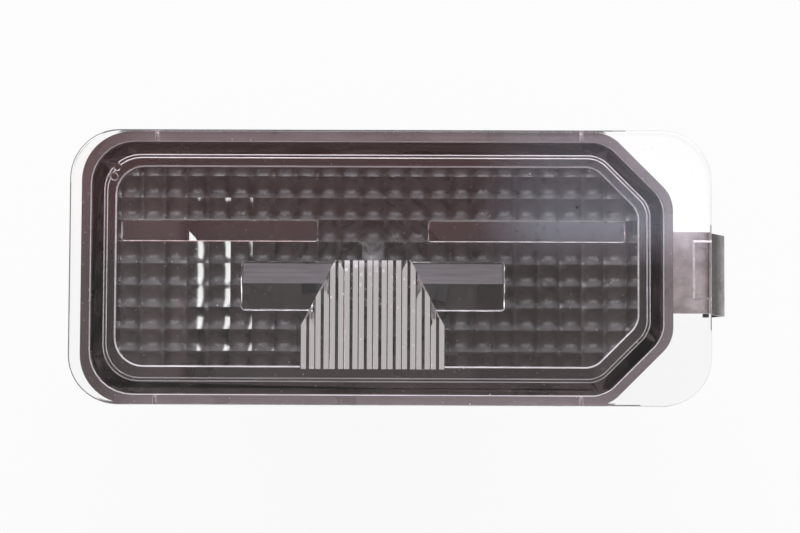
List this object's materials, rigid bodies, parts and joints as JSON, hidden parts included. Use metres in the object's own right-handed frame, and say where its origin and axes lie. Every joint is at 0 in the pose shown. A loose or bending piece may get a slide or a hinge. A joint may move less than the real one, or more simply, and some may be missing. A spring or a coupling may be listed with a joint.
{
  "type": "license plate lamp",
  "caption": "Slim clip-in license plate lamp: clear lens with pillow and prism optics on a black stepped housing, steel spring clip at one end, twist-in wedge-bulb holder behind.",
  "frame": {"origin": "centre of the lens outline, on the panel plane that the rear seat pads of the rim touch", "axes": "+Z out of the lens, +X along the lens towards the spring clip, +Y across it, up in the picture"},
  "size_m": [0.0764, 0.0318, 0.0421],
  "materials": {
    "lens_clear": "clear polished acrylic",
    "housing_black": "moulded black, semi-gloss",
    "clip_steel": "grainy bare spring steel",
    "holder_plastic": "dark grey moulded",
    "seal_rubber": "soft black",
    "contact_brass": "tinned strip",
    "bulb_clear": "clear",
    "filament_metal": "dark tungsten",
    "lead_metal": "drawn wire"
  },
  "bodies": {
    "lamp": {"lens": "lens_clear", "housing": "housing_black", "spring_clip": "clip_steel"},
    "twist_holder": {"bulb_holder": "holder_plastic", "holder_seal": "seal_rubber", "contact_plus": "contact_brass", "contact_minus": "contact_brass", "bulb_glass": "bulb_clear", "filament": "filament_metal", "lead_wire_plus": "lead_metal", "lead_wire_minus": "lead_metal"}
  },
  "joints": [
    {"name": "holder_twist", "type": "hinge", "parent": "lamp", "child": "twist_holder", "pos_m": [-0.00199, 0, -0.0185], "axis": [0, 0, 1], "range_deg": [0, 50]}
  ]
}
